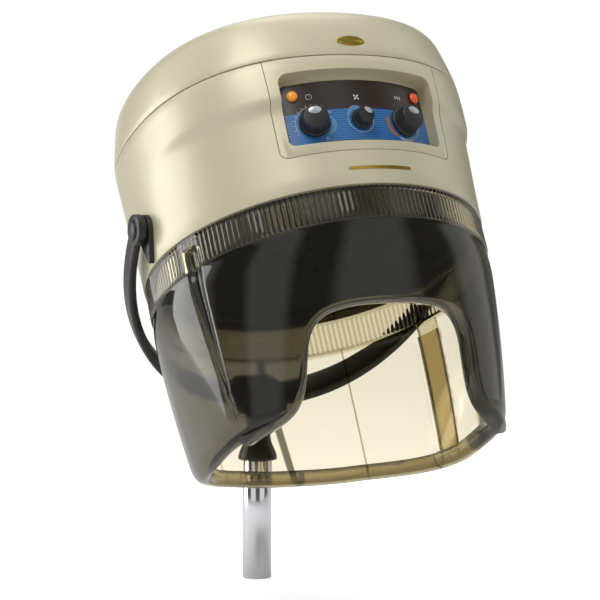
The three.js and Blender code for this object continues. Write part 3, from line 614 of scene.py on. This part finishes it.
def wrap(bm, degrees, z):
    """Lays a flat print (x right, y up, thin in z) on the curved panel about a dial's centre."""
    for v in bm.verts:
        a = math.radians(degrees) + v.co.x / FILM_R
        r = FILM_R + 0.04 + v.co.z
        v.co = Vector((r * math.sin(a), -r * math.cos(a), z + v.co.y))
    return bm


def arc_band(r0, r1, start, end, taper=0.0):
    """A flat crescent between two radii, clockwise from the top in degrees; taper thins its ends."""
    bm = bmesh.new()
    steps = max(4, int(abs(end - start) / 4))
    pairs = []
    for i in range(steps + 1):
        a = math.radians(start + (end - start) * i / steps)
        full = 1 - taper * abs(2 * i / steps - 1) ** 2
        outer = r0 + (r1 - r0) * full
        pairs.append([bm.verts.new((r * math.sin(a), r * math.cos(a), 0)) for r in (r0, outer)])
    faces = [bm.faces.new((p[0], p[1], q[1], q[0])) for p, q in zip(pairs, pairs[1:])]
    bmesh.ops.solidify(bm, geom=faces, thickness=0.08)
    return bm


def ring(x, y, r, r_in):
    """A flat ring."""
    bm = arc_band(r_in, r, 0, 360)
    bmesh.ops.translate(bm, verts=bm.verts, vec=(x, y, 0))
    return bm


def petal(x, y, length, width, turn):
    """A flat drop shape."""
    bm = bmesh.new()
    points = []
    for i in range(20):
        a = math.tau * i / 20
        across_it = width * math.sin(a) * (0.75 + 0.25 * math.cos(a))
        points.append(bm.verts.new((across_it, length * math.cos(a), 0)))
    bm.faces.new(points)
    bmesh.ops.solidify(bm, geom=bm.faces[:], thickness=0.08)
    bmesh.ops.rotate(bm, verts=bm.verts, matrix=Matrix.Rotation(-math.radians(turn), 3, "Z"), cent=(0, 0, 0))
    bmesh.ops.translate(bm, verts=bm.verts, vec=(x, y, 0))
    return bm


def merged(shapes):
    """All the shapes as one bmesh."""
    whole = bmesh.new()
    for shape in shapes:
        mesh = bpy.data.meshes.new("temporary")
        shape.to_mesh(mesh)
        shape.free()
        whole.from_mesh(mesh)
        bpy.data.meshes.remove(mesh)
    return whole


white_ink = ink("white_ink", (0.75, 0.76, 0.76))
pale_blue_ink = ink("pale_blue_ink", (0.25, 0.55, 0.8))
orange_ink = ink("orange_ink", (0.85, 0.3, 0.04))
white_marks = []
blue_marks = []
orange_marks = []
timer, speed, temp = (a for _, a, _, _, _ in DIALS)
white_marks.append(wrap(arc_band(19.3, 20.1, -120, 45), timer, KNOB_Z))
for i in range(11):
    white_marks.append(wrap(arc_band(20.6, 22.6, -120 + 15 * i, -118.2 + 15 * i), timer, KNOB_Z))
for turn in (60, 150):
    a = math.radians(turn)
    white_marks.append(wrap(ring(21.5 * math.sin(a), 21.5 * math.cos(a), 1.6, 1.0), timer, KNOB_Z))
white_marks.append(wrap(ring(0, 31, 3.4, 2.8), timer, KNOB_Z))
white_marks.append(wrap(arc_band(0.1, 2.4, -6, 6), timer, KNOB_Z + 31))
white_marks.append(wrap(arc_band(0.1, 1.8, 110, 122), timer, KNOB_Z + 31))
blue_marks.append(wrap(arc_band(18.6, 24, 70, 140, taper=0.9), timer, KNOB_Z))
white_marks.append(wrap(arc_band(13.8, 14.6, 80, 280), speed, KNOB_Z))
blue_marks.append(wrap(arc_band(13.6, 18.2, -80, 20, taper=0.9), speed, KNOB_Z))
for turn in (45, 135, 225, 315):
    a = math.radians(turn)
    white_marks.append(wrap(petal(2.1 * math.sin(a), 27 + 2.1 * math.cos(a), 1.9, 1.1, turn), speed, KNOB_Z))
white_marks.append(wrap(arc_band(18.8, 22.4, 150, 210, taper=0.6), temp, KNOB_Z))
blue_marks.append(wrap(arc_band(18.8, 22.8, 70, 148, taper=0.5), temp, KNOB_Z))
orange_marks.append(wrap(arc_band(18.8, 22.8, 212, 290, taper=0.5), temp, KNOB_Z))
for x in (-3.2, 0, 3.2):
    white_marks.append(wrap(petal(x, 30, 2.2, 1.1, 0), temp, KNOB_Z))
settle("white_marks", merged(white_marks), HOOD, white_ink, "hood", "panel_print")
settle("pale_blue_marks", merged(blue_marks), HOOD, pale_blue_ink, "hood", "panel_print")
settle("orange_marks", merged(orange_marks), HOOD, orange_ink, "hood", "panel_print")

# ------------------------------------------------------------------ lamps
# Two pilot lamps under domed lenses, amber on the left and red on the right, pushed through the panel.


def lens_plastic(name, color, glow):
    """Tinted plastic with a faint glow."""
    mat = finish(name, color, 0.12, grain=400, bump=0.01, coat=0.6)
    shader = mat.node_tree.nodes["Principled BSDF"]
    shader.inputs["Emission Color"].default_value = (*color, 1)
    shader.inputs["Emission Strength"].default_value = glow
    return mat


for side, name, slot, color in ((-1, "amber_lamp", "amber_lens", (0.85, 0.3, 0.03)),
                                (1, "red_lamp", "red_lens", (0.7, 0.09, 0.02))):
    dome = spun([(0, -8), (3.2, -8), (3.2, 2.6), (5.4, 2.6), (5.9, 2.9), (6, 3.4), (5.7, 4.6), (4.9, 5.8),
                 (3.6, 6.7), (2, 7.2), (0, 7.3)], 48)
    settle(name + "_lens", on_panel(dome, side * LAMP_ANGLE, LAMP_Z), HOOD, lens_plastic(name, color, 0.25),
           "hood", slot, name)

# ------------------------------------------------------------------ dials
# Black moulded knobs with a broad skirt and a silver petal let into the face, pushed on steel shafts. The
# units that they turn are screwed behind the panel.

silver = finish("silver_inlay", (0.5, 0.54, 0.57), 0.25, metal=0.6, grain=900, bump=0.01)
for name, angle, r, h, turn in DIALS:
    body = name + "_dial"
    base = 3.0
    knob = spun([(0, base + 3), (3.3, base + 3), (3.3, base), (r - 0.4, base), (r, base + 0.4), (r, base + 2.2),
                 (r - 0.5, base + 2.9), (r * 0.9, base + 3.6), (r * 0.86, base + 6), (r * 0.83, base + h - 2.4),
                 (r * 0.81, base + h - 1.1), (r * 0.76, base + h - 0.2), (r * 0.7, base + h),
                 (0, base + h)], 120)
    for v in knob.verts:
        rv = math.hypot(v.co.x, v.co.y)
        if base + 3.5 < v.co.z < base + h - 1 and rv > r * 0.6:
            k = 1 - 0.018 * (0.5 + 0.5 * math.cos(24 * math.atan2(v.co.y, v.co.x)))
            v.co.x *= k
            v.co.y *= k
    settle(name + "_knob_body", on_panel(knob, angle, KNOB_Z), HOOD, black_plastic, body, "black_plastic",
           name + "_knob")
    inlay = bmesh.new()
    bmesh.ops.create_circle(inlay, segments=40, radius=r * 0.36, cap_ends=True)
    bmesh.ops.scale(inlay, vec=(1.15, 0.7, 1), verts=inlay.verts)
    bmesh.ops.solidify(inlay, geom=inlay.faces[:], thickness=0.7)
    bmesh.ops.bevel(inlay, geom=[e for e in inlay.edges if e.is_manifold and e.calc_face_angle() > 1],
                    offset=0.25, segments=2, profile=0.5, affect="EDGES", material=-1)
    top = max(v.co.z for v in inlay.verts)
    bmesh.ops.translate(inlay, verts=inlay.verts, vec=(0, r * 0.38, base + h + 0.8 - top))
    bmesh.ops.rotate(inlay, verts=inlay.verts, cent=(0, 0, 0),
                     matrix=Matrix.Rotation(-math.radians(turn), 3, "Z"))
    settle(name + "_petal", on_panel(inlay, angle, KNOB_Z), HOOD, silver, body, "silver_print",
           name + "_pointer")
    dress(steel, name + "_shaft")
    dress(white_nylon, name + "_unit")

# ------------------------------------------------------------------ pivots
# Teardrop bosses in black plastic between the casing and the fork's eyes, with a steel washer, a shouldered
# bolt through the wall and a nut behind it.

for side, word in ((-1, "left"), (1, "right")):
    points = [(16.5 * math.cos(math.radians(a)), 16.5 * math.sin(math.radians(a))) for a in range(-20, 201, 5)]
    points += [(-2.6, -37), (-1.4, -38.4), (0, -38.8), (1.4, -38.4), (2.6, -37)]
    boss = bmesh.new()
    face = boss.faces.new([boss.verts.new((187.6 * side, y * side, z)) for y, z in points])
    made = bmesh.ops.extrude_face_region(boss, geom=[face])
    moved = [v for v in made["geom"] if isinstance(v, bmesh.types.BMVert)]
    bmesh.ops.translate(boss, verts=moved, vec=(5.1 * side, 0, 0))
    rim = [e for e in boss.edges if all(abs(v.co.x) > 192 for v in e.verts)]
    bmesh.ops.bevel(boss, geom=rim, offset=0.9, segments=3, profile=0.5, affect="EDGES", material=-1)
    settle("pivot_boss_body_" + word, boss, HOOD, black_plastic, "hood", "black_plastic", "pivot_boss_" + word)
    dress(steel, "friction_washer_" + word, "pivot_bolt_" + word, "pivot_nut_" + word)

# ------------------------------------------------------------------ visor
# Two shells in smoked transparent plastic, the rear one lapped inside the front one and bonded. A ribbed band
# sits under the casing, a flute runs down each front corner, and the rim curls inwards and up. The opening for
# the face has a rolled lip.

BAND, RIM = -76, -262
BAND_R = 186.4
JOINT = math.radians(119.25)
LAP = math.radians(110.25)
FLUTE = math.radians(70)
FLUTE_HALF = math.radians(3.9)
STEPS = 800
RIBS = 200


def visor_t(z):
    """How far down the visor a height is: 0 at the band, 1 at the rim."""
    return max(0.0, (BAND - z) / (BAND - RIM))


def visor_plan(angle, z):
    """The visor's outer radius, which turns from round to squarish and shallow towards the rim."""
    t = visor_t(z)
    side = BAND_R - 13 * t - 9 * t * t
    depth = BAND_R - 76 * t if math.cos(angle) > 0 else BAND_R - 30 * t
    n = 2 + 0.65 * t
    return (abs(math.sin(angle) / side) ** n + abs(math.cos(angle) / depth) ** n) ** (-1 / n)


def rim_lift(angle):
    """How far the rim has risen towards the nape."""
    return 18 * smooth((abs(angle) - math.radians(100)) / math.radians(55))


def flute(angle, z):
    """How deep the corner flute lies here: a round channel that narrows to a point."""
    if not -236 < z < -52:
        return 0.0
    half = FLUTE_HALF * min(1.0, ((z + 238) / 170) ** 0.6)
    off = (abs(angle) - FLUTE) / half
    if abs(off) >= 1:
        return 0.0
    return 6.0 * math.sqrt(half / FLUTE_HALF) * (1 - off * off) ** 2 * smooth((-51 - z) / 2.5)


def in_groove(angle):
    """Whether a step of the band lies in a groove between two ribs."""
    return round(angle / math.tau * STEPS) % (STEPS // RIBS) in (0, 3)


def visor_place(bm):
    """Gives the turned profile its plan, ribs, flutes and rising rear rim."""
    for v in bm.verts:
        x, y, z = v.co
        r = math.hypot(x, y)
        angle = math.atan2(x, -y)
        radius = visor_plan(angle, z) - (BAND_R - r)
        inset = BAND_R - r
        if -75 < z < -41.5 and 0.2 < inset < 1.2:
            if in_groove(angle) and abs(abs(angle) - FLUTE) > math.radians(4.4):
                radius -= 0.9
        if inset < 6:
            radius -= flute(angle, z)
        lift = rim_lift(angle) * min(1.0, visor_t(z))
        v.co = Vector((radius * math.sin(angle), -radius * math.cos(angle), z + lift))


def visor_rows():
    """The wall's section as (depth inside the outer face, height), down the outside and up the inside."""
    outer = [(7, -22), (4.6, -22), (4, -22.6), (4, -40.4), (1.4, -40.4), (0.6, -41.2), (0.6, -42), (0.6, -47)]
    outer += [(0.6, z) for z in (-52, -54, -57, -62, -68, -74)]
    outer += [(1.4, -76), (2.2, -77.2), (2.3, -79), (1.4, -84), (0.5, -92)]
    outer += [(0, z) for z in range(-100, -247, -6)]
    outer += [(0.3, -249), (1.1, -253), (2.4, -256.6), (4.6, -259.6), (7.6, -261.4), (11, -262), (15, -261.2),
              (18.6, -258.8), (21.2, -255.2), (22.8, -250.8), (23.4, -246.6), (23, -245.4), (21.8, -245.4)]
    inner = [(21, -248.2), (19.6, -252.4), (17.4, -256), (14.4, -258.4), (11, -259), (8.6, -258.4), (6.5, -257),
             (4.9, -254.8), (3.9, -251.8), (3.3, -248)]
    inner += [(3, z) for z in range(-244, -97, 6)]
    inner += [(3.5, -92), (4.4, -84), (5.2, -79)]
    inner += [(5.4, z) for z in (-74, -68, -62, -57, -52, -47)]
    inner += [(5.6, -43), (7, -41)]
    return outer + inner


def sector(bm, keep):
    """Keeps the faces whose middle passes the test, and closes the cut ends."""
    middles = [(f, f.calc_center_median()) for f in bm.faces]
    gone = [f for f, at in middles if not keep(abs(math.atan2(at.x, -at.y)))]
    bmesh.ops.delete(bm, geom=gone, context="FACES")
    bmesh.ops.holes_fill(bm, edges=[e for e in bm.edges if e.is_boundary], sides=0)
    return bm


def smoked_plastic_with_painted_shade():
    """Transparent plastic whose tint follows the shell's own attribute of smoke and painted shade, from clear to
    dark.
    """
    mat = bpy.data.materials.new("smoked_plastic_with_painted_shade")
    mat.use_nodes = True
    nodes, links = mat.node_tree.nodes, mat.node_tree.links
    shader = nodes["Principled BSDF"]
    shader.inputs["Transmission Weight"].default_value = 1.0
    shader.inputs["IOR"].default_value = 1.5
    smoke_and_shade = nodes.new("ShaderNodeAttribute")
    smoke_and_shade.attribute_name = "smoke_and_shade"
    tint = nodes.new("ShaderNodeValToRGB")
    ramp = tint.color_ramp
    ramp.elements[0].position, ramp.elements[0].color = 0.0, (0.81, 0.74, 0.58, 1)
    ramp.elements[1].position, ramp.elements[1].color = 1.0, (0.115, 0.11, 0.08, 1)
    middle = ramp.elements.new(0.5)
    middle.color = (0.56, 0.47, 0.26, 1)
    links.new(smoke_and_shade.outputs["Fac"], tint.inputs["Fac"])
    links.new(tint.outputs["Color"], shader.inputs["Base Color"])
    return textured(mat, 60, 0.03, 0.06, 0.01)


def smoke_and_shade_at(co, is_front):
    """How dark the plastic is at a point of the hood: dark in front, amber on laps and rim, with painted light
    and shade that makes the left side darker than the right.
    """
    angle = abs(math.atan2(co.x, -co.y))
    z = co.z - rim_lift(angle) * min(1.0, visor_t(co.z))
    turn = math.degrees(angle)
    r = math.hypot(co.x, co.y)
    if -75.5 < z < -41.5:
        groove = in_groove(angle)
        return (0.42 if groove else 0.95) if is_front and turn < 96 else (0.25 if groove else 0.6)
    dark = 0.66 * smooth((-244 - z) / 5)
    if z < BAND and r < visor_plan(angle, co.z) - 14:
        dark = 1.0 if z > -247.5 else 0.7
    if z > BAND - 3:
        dark = max(dark, 0.62)
    if LAP < angle < JOINT + 0.002 and z < BAND - 6:
        edge = min(angle - LAP, JOINT - angle) < math.radians(0.5)
        dark = max(dark, 0.9 if edge else 0.45)
    # Front shell dark to 95 degrees on the right; on the left both shells stay dark to 124 degrees. The real
    # shells are alike on both sides, so this difference between the sides is painted light and shade, set to how
    # each side looks under the studio lights.
    fade = 95 if co.x > 0 else 124
    dark = max(dark, 1 - smooth((turn - fade) / 4)) if is_front or co.x < 0 else dark
    if not is_front and (turn > 178.6 or abs(turn - 148.95) < 0.2):
        dark = max(dark, 0.95)
    return dark


def give_smoke_and_shade(piece, is_front):
    """Writes the tint, painted shade included, into the piece's own attribute."""
    mesh = piece.data
    layer = mesh.attributes.new("smoke_and_shade", "FLOAT", "POINT")
    to_hood = (HOOD @ MM).inverted()
    for v in mesh.vertices:
        layer.data[v.index].value = smoke_and_shade_at(to_hood @ v.co, is_front)


smoked = smoked_plastic_with_painted_shade()
profile = [(BAND_R - inset, z) for inset, z in visor_rows()]
front = sector(spun(profile, STEPS), lambda a: a < JOINT)
visor_place(front)

HALF_ARCH = [(157, -263), (143, -260.5), (128, -257), (115, -250.5), (107.5, -240), (103.5, -222),
             (101.5, -204), (99, -185), (92, -170), (79, -160), (60, -155.5), (40, -154), (20, -153.4)]


def smooth_line(points, rounds=3):
    """Rounds a line of points by cutting its corners, and keeps its ends."""
    for _ in range(rounds):
        cut = [points[0]]
        for p, q in zip(points, points[1:]):
            cut.append(tuple(a * 0.75 + b * 0.25 for a, b in zip(p, q)))
            cut.append(tuple(a * 0.25 + b * 0.75 for a, b in zip(p, q)))
        points = cut + [points[-1]]
    return points


arch = smooth_line(HALF_ARCH + [(-x, z) for x, z in reversed(HALF_ARCH)])
face_hole = prism([(157, -330)] + arch + [(-157, -330)], -300, -20)
front = carve(front, [face_hole])


def wall_point(x, z):
    """The visor's outer face above a point of the front view."""
    angle = 0.0
    for _ in range(12):
        angle = math.asin(min(1.0, max(-1.0, x / visor_plan(angle, z))))
    r = visor_plan(angle, z)
    return Vector((r * math.sin(angle), -r * math.cos(angle), z))


def rolled_lip():
    """The opening's edge turns into the visor in a round roll and a short flange."""
    section = [(-1.2, -0.1), (1.6, -0.2), (4.0, -1.2), (5.8, -3.2), (6.6, -6), (6.8, -10), (6.8, -17),
               (6.2, -17.8), (5.0, -17.8), (4.4, -17), (4.2, -10), (3.8, -6.4), (2.6, -4.0), (0.6, -2.9),
               (-1.2, -2.8)]
    path = [wall_point(x, z) for x, z in arch[3:-3]]
    bm = bmesh.new()
    first = [bm.verts.new((b, n, 0)) for b, n in section]
    face = bm.faces.new(first)
    loops = [first]
    edges = list(face.edges)
    for _ in path[1:]:
        made = bmesh.ops.extrude_edge_only(bm, edges=edges)["geom"]
        edges = [g for g in made if isinstance(g, bmesh.types.BMEdge)]
        fresh = {g for g in made if isinstance(g, bmesh.types.BMVert)}
        loops.append([next(e.other_vert(v) for e in v.link_edges if e.other_vert(v) in fresh)
                      for v in loops[-1]])
        edges = [e for e in edges if e.verts[0] in fresh and e.verts[1] in fresh]
    bm.faces.new(loops[-1])
    for i, (loop, at) in enumerate(zip(loops, path)):
        ahead = (path[min(i + 1, len(path) - 1)] - path[max(i - 1, 0)]).normalized()
        x, z = at.x, at.z
        u = wall_point(x + 1, z) - wall_point(x - 1, z)
        w = wall_point(x, z + 1) - wall_point(x, z - 1)
        out = u.cross(w).normalized()
        out = -out if out.y > 0 else out
        inwards = ahead.cross(out).normalized()
        if inwards.dot(Vector((0, at.y, -235)) - at) < 0:
            inwards = -inwards
        for v, (b, n) in zip(loop, section):
            v.co = at + inwards * b + out * n
    return bm


front = carve(front, [rolled_lip()], "UNION")
shell = settle("visor_front_shell", front, HOOD, smoked, "hood", "smoked", "visor_front")
give_smoke_and_shade(shell, True)
rear = sector(spun(profile, STEPS), lambda a: a > JOINT)
visor_place(rear)


def strip(near, far, start, end):
    """An upright strip of the visor's wall on both sides, between two depths inside its outer face."""
    heights = range(-95, -240, -6)
    section = [(BAND_R - near, z) for z in heights] + [(BAND_R - far, z) for z in reversed(heights)]
    bm = sector(spun(section, STEPS), lambda a: start < a < end)
    visor_place(bm)
    return bm


tab = strip(4, 6.4, LAP, JOINT + 0.03)
weld = strip(1.5, 5.5, JOINT + 0.004, JOINT + 0.028)
rear = carve(rear, [tab, weld], "UNION")
shell = settle("visor_rear_shell", rear, HOOD, smoked, "hood", "smoked", "visor_rear")
give_smoke_and_shade(shell, False)

# ------------------------------------------------------------------ inner dome
# Black perforated dome over the heater: the warm air comes down through its holes.

dome_outer = [(164 * math.sin(a), -34 + 54 * math.cos(a)) for a in (math.pi / 2 * i / 28 for i in range(29))]
profile = [(r, z + 2) for r, z in dome_outer[:-1]] + [(164, -32), (176, -32), (176, -34), (162, -34)]
profile += [(max(0.0, r - 1.6), z) for r, z in reversed(dome_outer[:-1])]
dome = spun(profile, 144)
drills = []
for r, count in ((22, 8), (42, 14), (62, 20), (82, 26), (102, 32), (122, 38)):
    for i in range(count):
        a = math.tau * (i + 0.5 * (r % 4 // 2)) / count
        drill = bmesh.new()
        bmesh.ops.create_cone(drill, cap_ends=True, segments=12, radius1=3.4, radius2=3.4, depth=120,
                              matrix=Matrix.Translation((r * math.cos(a), r * math.sin(a), 0)))
        drills.append(drill)
dome = carve(dome, [merged(drills)])
settle("diffuser_dome", dome, HOOD, black_plastic, "hood", "black_plastic", "inner_dome")

# ------------------------------------------------------------------ air unit
# Motor, impeller and heater on their deck inside the casing, with the terminal block and the lead's gland.

grey = finish("dull_grey", (0.14, 0.14, 0.15), 0.5, grain=1200, bump=0.06)
mica = finish("pressed_mica", (0.45, 0.36, 0.2), 0.6, grain=400, bump=0.1)
wire = finish("oxidised_wire", (0.3, 0.12, 0.06), 0.4, metal=0.8)
dress(grey, "fan_deck", "motor_body")
dress(mica, "heater_former")
dress(wire, "heater_coil")
dress(steel, "motor_bracket", "motor_shaft")
dress(black_plastic, "thermal_cutout", "impeller", "cable_gland")
dress(white_nylon, "terminal_block")
